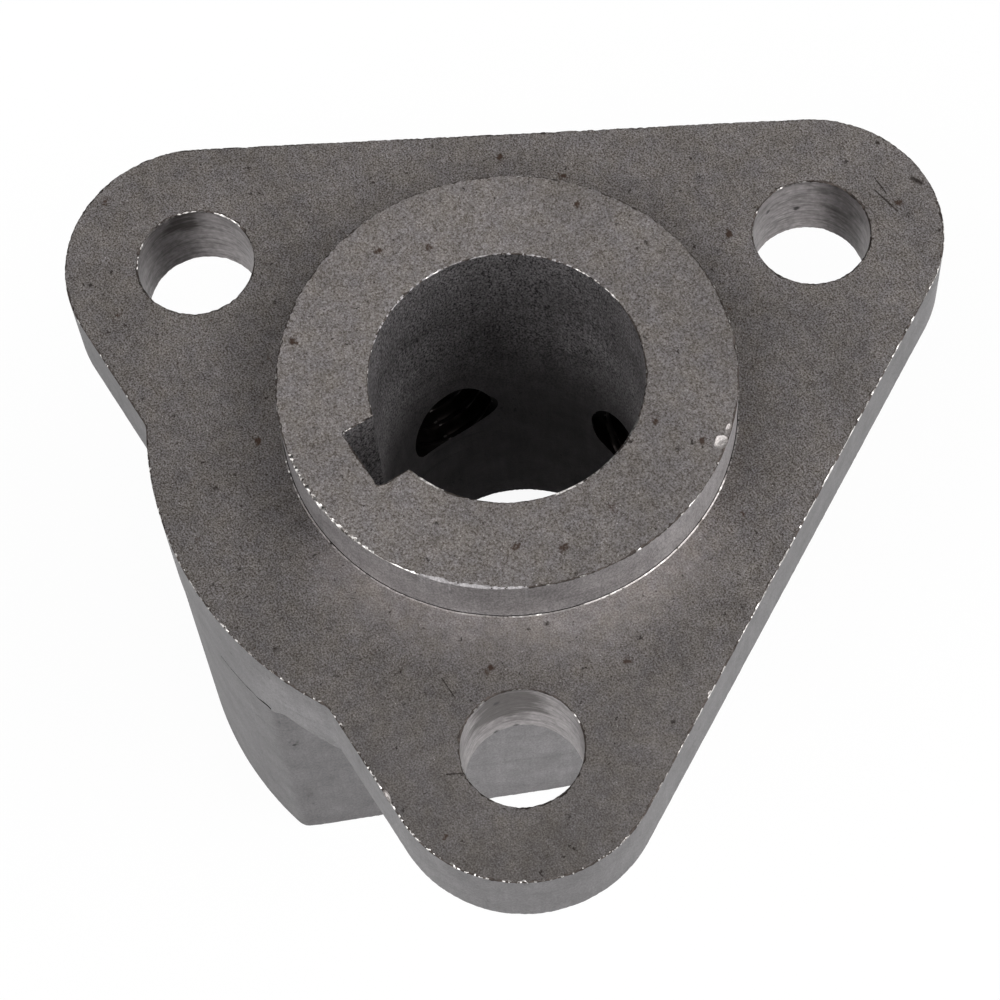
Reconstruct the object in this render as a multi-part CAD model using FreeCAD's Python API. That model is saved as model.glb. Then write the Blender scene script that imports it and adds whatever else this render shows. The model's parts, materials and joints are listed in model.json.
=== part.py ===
import FreeCAD, Part
import math
import os

# Belt drive hub of a garden machine: one pressed and sintered piece of steel.
# Millimetres, +Z along the shaft towards the pilot ring. The origin is on the bore's
# axis, in the plane of the barrel's lower end. The barrel's lug points along -Y.

# Shaft bore and its keyway, both open at the two ends
bore_diameter = 19.05
keyway_width = 4.76
keyway_reach = 11.7          # from the bore's axis to the keyway's flat floor

# Pilot ring on top of the flange, which centres what is bolted on
pilot_diameter = 31.75
pilot_height = 4.6
pilot_edge_break = 0.2       # small slope round the ring's upper outer edge

# Three-eared flange
flange_thickness = 6.8
bolt_count = 3
bolt_circle_diameter = 50.8
bolt_hole_diameter = 8.33
ear_radius = 9.4             # round end of an ear, about its bolt hole

# Barrel under the flange: round about the bore, drawn out to a lug on one side
barrel_length = 27.3         # from the lower end to the flange's underside
barrel_radius = 16.1
lug_radius = 25.4            # the lug's outer face, an arc about the bore's axis
lug_flank_angle = 66.5       # from the lug's direction to the normal of its flat flanks

# Set-screw holes through the barrel's wall: the first is opposite the lug
set_screw_count = 2
set_screw_spacing = 90.0     # degrees from one to the next
set_screw_diameter = 6.5
set_screw_height = 16.2      # from the lower end to the holes' axes

# Directions in plan, in degrees from +X
lug_direction = -90.0
half_pitch = 180.0 / bolt_count
first_ear_direction = lug_direction + half_pitch
first_screw_direction = lug_direction + 180.0

# Heights of the horizontal faces
flange_underside = barrel_length
flange_top = flange_underside + flange_thickness
pilot_top = flange_top + pilot_height

up = FreeCAD.Vector(0, 0, 1)
through = 1.0                # how far a cutting tool runs past the face that it leaves by


def in_plan(radius, direction, height=0.0):
    """Point at a distance and direction from the bore's axis."""
    angle = math.radians(direction)
    return FreeCAD.Vector(radius * math.cos(angle), radius * math.sin(angle), height)


def arc_about(centre, radius, start, end):
    """Arc in plan from one direction to another, anticlockwise about a centre."""
    middle = (start + end) / 2.0
    points = [centre + in_plan(radius, direction) for direction in (start, middle, end)]
    return Part.Arc(*points).toShape()


def close_outline(arcs, height, length):
    """Join arcs end to end with straight sides and raise the outline into a solid."""
    edges = []
    for arc, following in zip(arcs, arcs[1:] + arcs[:1]):
        edges.append(arc)
        side_start = arc.valueAt(arc.LastParameter)
        side_end = following.valueAt(following.FirstParameter)
        edges.append(Part.makeLine(side_start, side_end))
    section = Part.Face(Part.Wire(edges))
    section.translate(up * height)
    return section.extrude(up * length)


def ear_directions():
    return [first_ear_direction + 2.0 * half_pitch * index for index in range(bolt_count)]


def eared_plate():
    """Flange outline: an arc round each ear, and the straight sides that touch them."""
    arcs = []
    for direction in ear_directions():
        centre = in_plan(bolt_circle_diameter / 2.0, direction)
        arcs.append(arc_about(centre, ear_radius, direction - half_pitch, direction + half_pitch))
    return close_outline(arcs, flange_underside, flange_thickness)


def lug_pad():
    """Sector of a disc that carries the lug's round face up through the flange.

    It stands past the flange's straight side as a low curve with a corner at each end.
    """
    pad = Part.makeCylinder(
        lug_radius, flange_thickness, up * flange_underside, up, 2.0 * half_pitch
    )
    pad.rotate(FreeCAD.Vector(0, 0, 0), up, lug_direction - half_pitch)
    return pad


def lugged_barrel():
    """Barrel section: a circle, two flats that touch it, and the lug's arc between them."""
    flank = lug_flank_angle
    corner = flank - math.degrees(math.acos(barrel_radius / lug_radius))
    axis = FreeCAD.Vector(0, 0, 0)
    back = arc_about(axis, barrel_radius, lug_direction + flank, lug_direction + 360.0 - flank)
    lug = arc_about(axis, lug_radius, lug_direction - corner, lug_direction + corner)
    return close_outline([back, lug], 0.0, flange_top)


def pilot_ring():
    """Disc from the flange's underside to the ring's top, its upper edge broken."""
    length = flange_thickness + pilot_height
    ring = Part.makeCylinder(pilot_diameter / 2.0, length, up * flange_underside)
    upper_edge = [
        edge for edge in ring.Edges
        if edge.Length > pilot_diameter * 3.0 and edge.CenterOfMass.z > flange_top
    ]
    return ring.makeChamfer(pilot_edge_break, upper_edge)


def shaft_passage():
    """Cutting tool for the bore and the keyway that points into the lug."""
    length = pilot_top + 2.0 * through
    bottom = FreeCAD.Vector(0, 0, -through)
    bore = Part.makeCylinder(bore_diameter / 2.0, length, bottom)
    key = Part.makeBox(
        keyway_reach, keyway_width, length, FreeCAD.Vector(0, -keyway_width / 2.0, -through)
    )
    key.rotate(FreeCAD.Vector(0, 0, 0), up, lug_direction)
    return bore.fuse(key)


def bolt_holes():
    length = flange_thickness + 2.0 * through
    return [
        Part.makeCylinder(
            bolt_hole_diameter / 2.0,
            length,
            in_plan(bolt_circle_diameter / 2.0, direction, flange_underside - through),
        )
        for direction in ear_directions()
    ]


def set_screw_holes():
    """Tap-drilled holes that run outwards from the bore through one wall only."""
    holes = []
    for index in range(set_screw_count):
        direction = first_screw_direction + set_screw_spacing * index
        start = in_plan(0.0, direction, set_screw_height)
        outwards = in_plan(1.0, direction)
        length = barrel_radius + through
        holes.append(Part.makeCylinder(set_screw_diameter / 2.0, length, start, outwards))
    return holes


def hub_body():
    blank = eared_plate().fuse([lug_pad(), lugged_barrel(), pilot_ring()])
    blank = blank.removeSplitter()
    machined = blank.cut([shaft_passage()] + bolt_holes() + set_screw_holes())
    return machined.removeSplitter()


os.makedirs("parts", exist_ok=True)
hub = hub_body()
print("hub_body: valid", hub.isValid(), "solids", len(hub.Solids), "faces", len(hub.Faces))
print("volume mm3", round(hub.Volume, 1), "box", hub.BoundBox)
hub.Solids[0].exportStep("parts/hub_body.step")
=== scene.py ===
import bmesh
import bpy
import json
import math
from mathutils import Matrix, Vector, noise


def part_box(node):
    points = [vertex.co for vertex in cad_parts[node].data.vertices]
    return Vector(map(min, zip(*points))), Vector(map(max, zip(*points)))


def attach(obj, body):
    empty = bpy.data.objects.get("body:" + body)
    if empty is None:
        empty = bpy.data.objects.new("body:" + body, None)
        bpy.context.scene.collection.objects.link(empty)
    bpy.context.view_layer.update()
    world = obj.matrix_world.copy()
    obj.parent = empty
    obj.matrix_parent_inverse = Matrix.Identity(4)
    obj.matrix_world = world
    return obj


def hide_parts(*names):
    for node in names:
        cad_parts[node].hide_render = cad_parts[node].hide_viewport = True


# Belt drive hub of a garden machine: one piece of pressed and sintered steel.
# Shapes are modelled in millimetres, and the finished mesh is turned to metres by the value mm.
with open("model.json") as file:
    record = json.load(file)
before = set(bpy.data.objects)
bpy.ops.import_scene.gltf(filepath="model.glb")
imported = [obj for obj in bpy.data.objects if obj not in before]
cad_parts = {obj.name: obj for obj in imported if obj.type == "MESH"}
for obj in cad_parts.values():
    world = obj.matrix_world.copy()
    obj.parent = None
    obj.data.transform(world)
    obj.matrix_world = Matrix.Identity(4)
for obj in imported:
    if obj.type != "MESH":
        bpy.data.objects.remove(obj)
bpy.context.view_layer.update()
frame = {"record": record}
cadLow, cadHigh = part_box("hub_body")
mm = 0.001
mounts = {mount["name"]: mount for mount in frame["record"]["mounts"]}
boltPattern = mounts["flange_bolts"]["dims"]

# The sizes that every shape is measured from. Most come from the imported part.
hub = {
    "boreRadius": mounts["shaft_bore"]["dims"]["r_mm"],
    "pilotRadius": mounts["pilot"]["dims"]["r_mm"],
    "pilotTop": cadHigh.z / mm,
    "flangeTop": mounts["flange_bolts"]["pos_m"][2] / mm,
    "flangeThickness": 6.8,
    "boltCount": boltPattern["count"],
    "boltCircleRadius": boltPattern["pcd_mm"] / 2.0,
    "boltHoleRadius": boltPattern["hole_r_mm"],
    "earRadius": cadHigh.y / mm - boltPattern["pcd_mm"] / 2.0,
    "lugRadius": -cadLow.y / mm,
    "lugDirection": -90.0,      # degrees from +X, as all directions are
    "padCornerRound": 1.6,
    "fineSpacing": 0.1,         # between the points of an outline that shows closely
    "coarseSpacing": 0.3,
}
axis = Vector((0.0, 0.0, 0.0))
flangeUnderside = hub["flangeTop"] - hub["flangeThickness"]
halfPitch = 180.0 / hub["boltCount"]
earDirections = [
    hub["lugDirection"] + halfPitch * (2 * index + 1) for index in range(hub["boltCount"])
]


def inPlan(radius, degrees, height=0.0):
    angle = math.radians(degrees)
    return Vector((radius * math.cos(angle), radius * math.sin(angle), height))


boltCentres = [inPlan(hub["boltCircleRadius"], direction) for direction in earDirections]
# from the axis to a straight side of the flange, past which the pad stands
padReach = hub["boltCircleRadius"] * math.cos(math.radians(halfPitch)) + hub["earRadius"]


# Outlines and blanks

def sweepPoint(bm, centre, radius, start, sweep, spacing):
    # a point spun about a centre, which leaves an arc: its points come back in order
    before = len(bm.verts)
    first = bm.verts.new(centre + inPlan(radius, start))
    steps = max(2, round(abs(math.radians(sweep)) * radius / spacing))
    bmesh.ops.spin(
        bm, geom=[first], cent=centre, axis=(0, 0, 1), angle=math.radians(sweep), steps=steps
    )
    bm.verts.ensure_lookup_table()
    return list(bm.verts[before:])


def makeObject(bm, name):
    mesh = bpy.data.meshes.new(name)
    bm.to_mesh(mesh)
    bm.free()
    thing = bpy.data.objects.new(name, mesh)
    bpy.context.scene.collection.objects.link(thing)
    return thing


def raiseOutline(name, arcs, low, high, spacing):
    # arcs are (centre, radius, start, sweep, spacing) in their order round the outline, and the
    # straight sides between them have points as close as the last spacing
    bm = bmesh.new()
    swept = [sweepPoint(bm, *arc) for arc in arcs]
    sides = [bm.edges.new((arc[-1], after[0])) for arc, after in zip(swept, swept[1:] + swept[:1])]
    for side in sides:
        cuts = round(side.calc_length() / spacing) - 1
        if cuts > 0:
            bmesh.ops.subdivide_edges(bm, edges=[side], cuts=cuts)
    bmesh.ops.remove_doubles(bm, verts=bm.verts, dist=1e-4)
    face = bmesh.ops.contextual_create(bm, geom=list(bm.edges))["faces"][0]
    bmesh.ops.translate(bm, verts=face.verts, vec=(0, 0, low))
    raised = bmesh.ops.extrude_face_region(bm, geom=[face])["geom"]
    top = [item for item in raised if isinstance(item, bmesh.types.BMVert)]
    bmesh.ops.translate(bm, verts=top, vec=(0, 0, high - low))
    bmesh.ops.recalc_face_normals(bm, faces=bm.faces)
    return makeObject(bm, name)


def flangeBlank():
    # an arc round each ear, and the pad's low arc between the two ears beside the lug, with a
    # small round where it leaves the straight side
    spacing = hub["fineSpacing"]
    lug = hub["lugDirection"]
    small = hub["padCornerRound"]
    reach = hub["lugRadius"] + small
    half = math.degrees(math.acos((padReach + small) / reach))
    arcs = [
        (centre, hub["earRadius"], direction - halfPitch, 2.0 * halfPitch, spacing)
        for centre, direction in zip(boltCentres, earDirections)
    ]
    arcs += [
        (inPlan(reach, lug - half), small, lug + 180.0, -half, spacing),
        (axis, hub["lugRadius"], lug - half, 2.0 * half, spacing),
        (inPlan(reach, lug + half), small, lug + half + 180.0, -half, spacing),
    ]
    return raiseOutline("flange", arcs, flangeUnderside, hub["flangeTop"], spacing)


barrel = {
    "radius": 16.1,
    "flankAngle": 66.5,         # from the lug's direction to the flat flanks' normals
    "partingStep": 0.06,        # the lug's face stands back this far from the pad above it
    "cornerRound": 1.3,
    "skirt": 0.9,               # how far the pad's wall runs down past the flange's underside
    "corner": 2.5,              # and how far at the lug's corners, where the parting line dips
    "dipEnd": 20.0,             # degrees from the lug's direction to the end of that dip
    "dipRise": 4.5,             # degrees over which it rises again
    "skirtInner": 18.0,
    "skirtHalf": 30.0,          # degrees that the skirt runs to each side
}


def barrelBlank():
    spacing = hub["coarseSpacing"]
    lug = hub["lugDirection"]
    flank = barrel["flankAngle"]
    small = barrel["cornerRound"]
    lugRadius = hub["lugRadius"] - barrel["partingStep"]
    corner = flank - math.degrees(math.acos((barrel["radius"] - small) / (lugRadius - small)))
    centres = [inPlan(lugRadius - small, lug + side * corner) for side in (-1, 1)]
    arcs = [
        (axis, barrel["radius"], lug + flank, 360.0 - 2.0 * flank, spacing),
        (centres[0], small, lug - flank, flank - corner, spacing),
        (axis, lugRadius, lug - corner, 2.0 * corner, spacing),
        (centres[1], small, lug + corner, flank - corner, spacing),
    ]
    return raiseOutline("barrel", arcs, 0.0, flangeUnderside + 1.0, spacing)


def padSkirt():
    top = flangeUnderside + 0.2
    inner = barrel["skirtInner"]
    wall = hub["lugRadius"]
    low = flangeUnderside - barrel["skirt"]
    half = barrel["skirtHalf"]
    profile = [(inner, low), (wall, low), (wall, top), (inner, top)]
    bm = spinOutline(profile, hub["lugDirection"] - half, 2.0 * half)
    for vert in bm.verts:
        if vert.co.z < flangeUnderside:
            aside = abs(directionOf(vert.co) - hub["lugDirection"])
            dip = min(1.0, max(0.0, (barrel["dipEnd"] - aside) / barrel["dipRise"]))
            vert.co.z -= (barrel["corner"] - barrel["skirt"]) * dip ** 2 * (3.0 - 2.0 * dip)
            vert.co.z += 0.08 * noise.noise(vert.co / 0.8)
    return makeObject(bm, "padSkirt")


def disc(name, centre, radius, low, high):
    bm = bmesh.new()
    bmesh.ops.create_cone(
        bm,
        cap_ends=True,
        segments=round(2.0 * math.pi * radius / hub["fineSpacing"]),
        radius1=radius,
        radius2=radius,
        depth=high - low,
        matrix=Matrix.Translation(centre + Vector((0, 0, (low + high) / 2.0))),
    )
    return makeObject(bm, name)


def spinOutline(profile, start, sweep):
    # a closed outline of (radius, height) points, spun about the hub's axis
    bm = bmesh.new()
    corners = [bm.verts.new(inPlan(radius, start, height)) for radius, height in profile]
    sides = [bm.edges.new(pair) for pair in zip(corners, corners[1:] + corners[:1])]
    bmesh.ops.spin(
        bm,
        geom=corners + sides,
        cent=axis,
        axis=(0, 0, 1),
        angle=math.radians(sweep),
        steps=max(6, round(math.radians(sweep) * profile[0][0] / hub["fineSpacing"])),
        use_merge=sweep == 360.0,
    )
    bmesh.ops.holes_fill(bm, edges=[edge for edge in bm.edges if edge.is_boundary], sides=0)
    bmesh.ops.recalc_face_normals(bm, faces=bm.faces)
    return bm


def directionOf(place):
    return math.degrees(math.atan2(place.y, place.x))


def within(place, stretches):
    # whether the place's direction lies in one of the stretches
    return any(start < directionOf(place) < end for start, end in stretches)


# Metal that the press squeezed up between its two upper punches: a thin ragged lip round the
# foot of the pilot, with a dark crease between the two.
lip = {
    "gap": 0.05, "width": 0.14, "height": 0.11, "creaseDepth": 0.1, "runSize": 2.2,
    "rubbed": ((-100.0, -46.0), (-16.0, 40.0)),     # stretches, by direction, where it is bright
    "whole": ((-14.0, 36.0),),  # and one where little broke off, and its top slopes outwards
    "slope": 0.06,
}


def punchLip():
    inner = hub["pilotRadius"] + lip["gap"]
    low = hub["flangeTop"] - 0.3
    high = hub["flangeTop"] + lip["height"]
    profile = [
        (inner, low), (inner + lip["width"], low),
        (inner + 0.75 * lip["width"], high), (inner + 0.1 * lip["width"], high),
    ]
    bm = spinOutline(profile, 0.0, 360.0)
    for vert in bm.verts:
        if vert.co.z > hub["flangeTop"]:
            run = noise.noise(vert.co / lip["runSize"]) + 0.5 * noise.noise(vert.co / 0.25)
            if within(vert.co, lip["whole"]):
                run = 0.2 + 0.25 * run
                if vert.co.xy.length > inner + 0.5 * lip["width"]:
                    vert.co.z -= lip["slope"]
            vert.co.z -= lip["height"] * min(0.95, max(0.0, 0.35 - 1.3 * run))
    return makeObject(bm, "punchLip")


def punchCrease():
    wall = hub["pilotRadius"]
    top = hub["flangeTop"]
    profile = [
        (wall - 0.02, top + 0.05), (wall + lip["gap"], top + 0.05),
        (wall + 0.5 * lip["gap"], top - lip["creaseDepth"]),
    ]
    bm = spinOutline(profile, 0.0, 360.0)
    return makeObject(bm, "punchCrease")


# Cutting tools

keyway = {"width": 4.76, "reach": 11.7, "mouthRound": 0.12, "floorRound": 0.25, "spacing": 0.04}


def shaftTool():
    # the bore and its keyway in one outline, longer than the hub at both ends
    spacing = hub["fineSpacing"]
    turn = hub["lugDirection"]
    half = keyway["width"] / 2.0
    small = keyway["mouthRound"]
    reach = hub["boreRadius"] + small
    mouth = math.degrees(math.asin((half + small) / reach))
    square = Matrix.Rotation(math.radians(turn), 4, "Z")
    low = keyway["floorRound"]
    deep = keyway["reach"] - low
    centres = [square @ Vector((deep, side * (half - low), 0.0)) for side in (-1, 1)]
    tight = keyway["spacing"]
    arcs = [
        (axis, hub["boreRadius"], turn + mouth, 360.0 - 2.0 * mouth, spacing),
        (inPlan(reach, turn - mouth), small, turn - mouth + 180.0, mouth - 90.0, tight),
        (centres[0], low, turn - 90.0, 90.0, tight),
        (centres[1], low, turn, 90.0, tight),
        (inPlan(reach, turn + mouth), small, turn - 90.0, mouth - 90.0, tight),
    ]
    return raiseOutline("shaftTool", arcs, -1.0, hub["pilotTop"] + 1.0, spacing)


setScrew = {
    "threadRadius": 3.97,       # 5/16 inch thread
    "threadDepth": 0.68,
    "pitch": 1.411,             # 18 turns to the inch
    "steps": 96,                # round the thread
    "rowsPerTurn": 10,
    "mouthFlare": 0.5,          # how far the countersink opens the outer end
}


def tapTool(mount):
    # a tube of points whose radius rises and falls along a helix: the thread as its tap cuts it
    bm = bmesh.new()
    outwards = Vector(mount["axis"])
    height = mount["pos_m"][2] / mm
    length = barrel["radius"] + 2.0
    rows = round(length / setScrew["pitch"] * setScrew["rowsPerTurn"])
    ends = [bm.verts.new((setScrew["threadRadius"], 0.0, end)) for end in (0.0, length)]
    bmesh.ops.subdivide_edges(bm, edges=[bm.edges.new(ends)], cuts=rows - 1)
    bmesh.ops.spin(
        bm,
        geom=list(bm.verts) + list(bm.edges),
        cent=axis,
        axis=(0, 0, 1),
        angle=2.0 * math.pi,
        steps=setScrew["steps"],
        use_merge=True,
    )
    for vert in bm.verts:
        turns = vert.co.z / setScrew["pitch"] - math.atan2(vert.co.y, vert.co.x) / (2.0 * math.pi)
        ridge = 1.2 * abs(2.0 * (turns % 1.0) - 1.0) - 0.1
        threaded = setScrew["threadRadius"] - setScrew["threadDepth"] * min(1.0, max(0.0, ridge))
        flare = vert.co.z - (barrel["radius"] - setScrew["mouthFlare"])
        flared = setScrew["threadRadius"] - setScrew["threadDepth"] + flare
        vert.co.xy = vert.co.xy.normalized() * max(threaded, flared)
    bmesh.ops.holes_fill(bm, edges=[edge for edge in bm.edges if edge.is_boundary], sides=0)
    bmesh.ops.recalc_face_normals(bm, faces=bm.faces)
    turned = outwards.to_track_quat("Z", "Y").to_matrix().to_4x4()
    bmesh.ops.transform(bm, matrix=Matrix.Translation((0, 0, height)) @ turned, verts=bm.verts)
    return makeObject(bm, mount["name"] + "Tool")


def combine(body, tools, operation):
    for tool in tools:
        modifier = body.modifiers.new(tool.name, "BOOLEAN")
        modifier.operation = operation
        modifier.solver = "EXACT"
        modifier.object = tool
    shaped = body.evaluated_get(bpy.context.evaluated_depsgraph_get())
    body.data = bpy.data.meshes.new_from_object(shaped)
    body.modifiers.clear()
    for tool in tools:
        bpy.data.objects.remove(tool)


# Edges

rims = {
    # width in mm, and how uneven the edge is from 0 to 1
    # bare: stretches by direction that lost their dark skin, where only some did
    "pilotRim": {"width": 0.11, "wear": 1.0, "bare": ((-66.0, -50.0), (14.0, 30.0))},
    # rolled: where the bore's rim was pressed to a gentle slope; dull: where it is bare but dull
    "boreRim": {
        "width": 0.09, "wear": 1.0,
        "bare": ((-105.5, -101.0), (-70.0, -51.0), (92.0, 120.0), (-12.0, 40.0)),
        "rolled": ((-70.0, -51.0), (-12.0, 40.0)),
        "dull": ((120.0, 180.0), (-180.0, -138.0)),
    },
    "flangeRim": {
        "width": 0.12, "wear": 1.0,
        "bare": ((-129.8, -128.2), (-125.8, -124.6), (-114.0, 85.0)),
    },
    # skin is how much of a bolt hole's edge keeps its dark skin, for each hole from -1 to 1
    "boltRim": {"width": 0.13, "wear": 1.0, "skin": (0.28, 0.2, -0.15)},
    "hiddenRim": {"width": 0.2, "wear": 0.4},
    "grainSize": 0.28,          # length in mm of the smallest nicks along an edge
    "dentSize": 1.5,            # length of the longer worn runs
    # stretches by direction: battered into beads on the pilot's rim and the flange's, and
    # pressed flat on the pilot's
    "beaded": {
        "pilotRim": {"from": -101.0, "to": -66.0, "swell": 3.0},
        "flangeRim": {"from": -114.0, "to": -20.0, "swell": 1.4},
    },
    "flattened": {"from": -56.0, "to": -21.0, "width": 0.2},
}


def alongStretch(place, stretch):
    # from 0 to 1 along it, and outside that where the place is past its ends
    return (directionOf(place) - stretch["from"]) / (stretch["to"] - stretch["from"])


def isBeaded(name, place):
    return name in rims["beaded"] and 0.0 < alongStretch(place, rims["beaded"][name]) < 1.0


def rimName(edge):
    # the rim that an edge belongs to, or None
    first, second = edge.verts
    if abs(first.co.z - second.co.z) > 1e-3 or not edge.is_manifold:
        return None
    if edge.calc_face_angle_signed(0.0) < math.radians(50.0):
        return None
    height = first.co.z
    middle = (first.co + second.co) / 2.0
    reach = middle.xy.length
    if abs(height - hub["pilotTop"]) < 0.01:
        return "pilotRim" if reach > hub["pilotRadius"] - 1.0 else "boreRim"
    if abs(height - hub["flangeTop"]) < 0.01:
        if reach < hub["pilotRadius"] + 1.0:
            return None
        near = min((middle.xy - centre.xy).length for centre in boltCentres)
        return "boltRim" if near < hub["boltHoleRadius"] + 0.1 else "flangeRim"
    if abs(height - flangeUnderside) < 0.01:
        # the pad's lower edge stays sharp, because it is the parting line over the lug
        onPad = abs(reach - hub["lugRadius"]) < 0.01 and -middle.y > padReach
        return None if onPad else "hiddenRim"
    return "hiddenRim" if abs(height) < 0.01 else None


def wornShare(place, seed, wear, swell):
    # how much of its width an edge is broken by there: mostly little, with runs and beads of more
    shift = Vector((seed, 7.3 * seed, 0.0))
    fine = noise.noise(place / rims["grainSize"] + shift)
    coarse = noise.noise(place / rims["dentSize"] + shift)
    share = 0.85 + 1.2 * fine + 0.9 * coarse
    if swell:
        share = 0.1 + swell * (0.5 + fine)
    return 1.0 + wear * (min(2.2, max(0.35, share)) - 1.0)


def flattenedShare(place):
    # 0 outside the flattened stretch of the pilot's rim, and more inside it
    along = alongStretch(place, rims["flattened"])
    if not 0.0 < along < 1.0:
        return 0.0
    swell = math.sin(math.pi * along ** 0.7) ** 0.6
    ragged = 1.0 + 0.6 * noise.noise(place / 0.8) + 0.6 * noise.noise(place / 0.2)
    return swell * rims["flattened"]["width"] / rims["pilotRim"]["width"] * ragged


def wearRim(name, height, middles):
    # each middle point of a bevel has one point on the flat face and one on the wall
    wear = rims[name]["wear"]
    for middle in middles:
        around = [edge.other_vert(middle) for edge in middle.link_edges]
        flat = min(around, key=lambda vert: abs(vert.co.z - height))
        wall = max(around, key=lambda vert: abs(vert.co.z - height))
        corner = Vector((wall.co.x, wall.co.y, height))
        inward = flat.co - corner
        down = wall.co - corner
        swell = rims["beaded"][name]["swell"] if isBeaded(name, corner) else 0.0
        flatShare = wornShare(corner, 1.0, wear, swell)
        wallShare = wornShare(corner, 5.0, wear, swell)
        if name == "pilotRim":
            flattened = flattenedShare(corner)
            flatShare = max(flatShare, flattened)
            wallShare = max(wallShare, 0.6 * flattened)
        bulge = 0.5 + 0.25 * wear * noise.noise(corner / rims["grainSize"])
        sunk = 0.4 * bulge
        if within(corner, rims[name].get("rolled", ())):
            flatShare = 1.1 + 0.6 * min(1.0, flatShare)
            wallShare = 0.3 * flatShare
            sunk = 1.0 - bulge
        flat.co = corner + inward * flatShare
        wall.co = corner + down * wallShare
        middle.co = corner + inward * flatShare * bulge + down * wallShare * sunk


def finishOf(face):
    # which finish a face of the sharp-edged hub has, by where it lies and how it is turned
    middle = face.calc_center_median()
    reach = middle.xy.length
    pastPilot = reach - hub["pilotRadius"]
    aboveFlange = middle.z - hub["flangeTop"]
    if 0.01 < pastPilot < 0.35 and 0.005 < aboveFlange < 0.2:
        rubbed = within(middle, lip["rubbed"]) and noise.noise(middle / 0.6) > -0.25
        return "freshSteelChip" if rubbed else "bareSteelEdge"
    if abs(pastPilot) < 0.35 and abs(aboveFlange) < 0.2 and face.normal.z < 0.99:
        return "burnishedSteelPilotWall" if aboveFlange > 0.0 else "darkCrease"
    inCrack = abs(middle.z - flangeUnderside + barrel["corner"]) < 0.5 and reach < hub["lugRadius"]
    if inCrack and abs(face.normal.z) > 0.2:
        return "darkCrease"
    if face.normal.z > 0.99:
        onPilot = middle.z > hub["pilotTop"] - 0.1
        return "sinteredSteelPilotFace" if onPilot else "sinteredSteelFace"
    if face.normal.z < -0.99:
        return "sinteredSteelFace"
    if abs(face.normal.z) > 0.01:
        return "tappedSteel"
    if min((middle.xy - centre.xy).length for centre in boltCentres) < hub["boltHoleRadius"] + 0.05:
        return "drilledSteel"
    if face.normal.xy.dot(middle.xy) < 0.0 and reach < keyway["reach"] + 0.5:
        return "sinteredSteelBore"
    return "burnishedSteelPilotWall" if aboveFlange > 0.0 else "sinteredSteelDieWall"


def layCapsAgain(bm):
    # the Boolean's long edges across the flat faces run close beside their rims, where the
    # wear would fold them, so each flat face is filled anew between its rims
    caps = {}
    for face in bm.faces:
        if abs(face.normal.z) > 0.99 and len(face.verts) > 40:
            key = (round(face.calc_center_median().z, 1), face.normal.z > 0.0, face.material_index)
            caps.setdefault(key, []).append(face)
    for (height, faceUp, finish), faces in sorted(caps.items()):
        inCap = set(faces)
        rim = [edge for edge in bm.edges if sum(face in inCap for face in edge.link_faces) == 1]
        bmesh.ops.delete(bm, geom=faces, context="FACES")
        normal = Vector((0, 0, 1.0 if faceUp else -1.0))
        filled = bmesh.ops.triangle_fill(bm, edges=rim, use_beauty=True, normal=normal)["geom"]
        for face in [item for item in filled if isinstance(item, bmesh.types.BMFace)]:
            face.material_index = finish
            face.normal_update()
            if face.normal.dot(normal) < 0.0:
                face.normal_flip()
        print("flat face at", height, "filled:", len(filled), "parts")


def edgeFinish(name, height, face):
    # the skin stays dark on the side of an edge that lies to the flat face
    middle = face.calc_center_median()
    if name == "pilotRim" and flattenedShare(middle) > 1.0:
        return "burnishedSteelPilotWall"
    if isBeaded(name, middle):
        whole = name == "pilotRim" or noise.noise(middle / 0.22) > 0.1
        return "bareSteelEdge" if whole else "oxideSkinEdge"
    if name == "boltRim":
        apart = [(middle.xy - centre.xy).length for centre in boltCentres]
        if noise.noise(middle / 1.4) < rims[name]["skin"][apart.index(min(apart))]:
            return "oxideSkinEdge"
    if within(middle, rims[name].get("dull", ())) and noise.noise(middle / 0.3) > 0.0:
        return "burnishedSteelPilotWall"
    if "bare" in rims[name]:
        bare = within(middle, rims[name]["bare"])
        if noise.noise(middle / 0.6) < (-0.2 if bare else 0.3):
            return "oxideSkinEdge"
        if bare and name == "boreRim":
            return "bareSteelEdge"
    onFlat = sum(abs(vert.co.z - height) < 1e-4 for vert in face.verts) > 1
    return "oxideSkinEdge" if onFlat else "bareSteelEdge"


def breakEdges(bm):
    groups = {}
    for edge in bm.edges:
        name = rimName(edge)
        if name:
            groups.setdefault((name, round(edge.verts[0].co.z, 2)), []).append(edge)
    for (name, height), edges in sorted(groups.items()):
        width = rims[name]["width"]
        made = bmesh.ops.bevel(
            bm, geom=edges, offset=width, segments=2, profile=0.5, affect="EDGES", material=-1
        )
        middles = [
            vert for vert in made["verts"]
            if 1e-3 < abs(vert.co.z - height) < width * 0.7 and len(vert.link_edges) == 4
        ]
        wearRim(name, height, middles)
        for face in made["faces"]:
            face.material_index = finishes.index(edgeFinish(name, height, face))
        bmesh.ops.triangulate(bm, faces=made["faces"], quad_method="SHORT_EDGE")
        print("edge broken:", name, height, len(edges), "edges", len(middles), "points")


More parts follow.
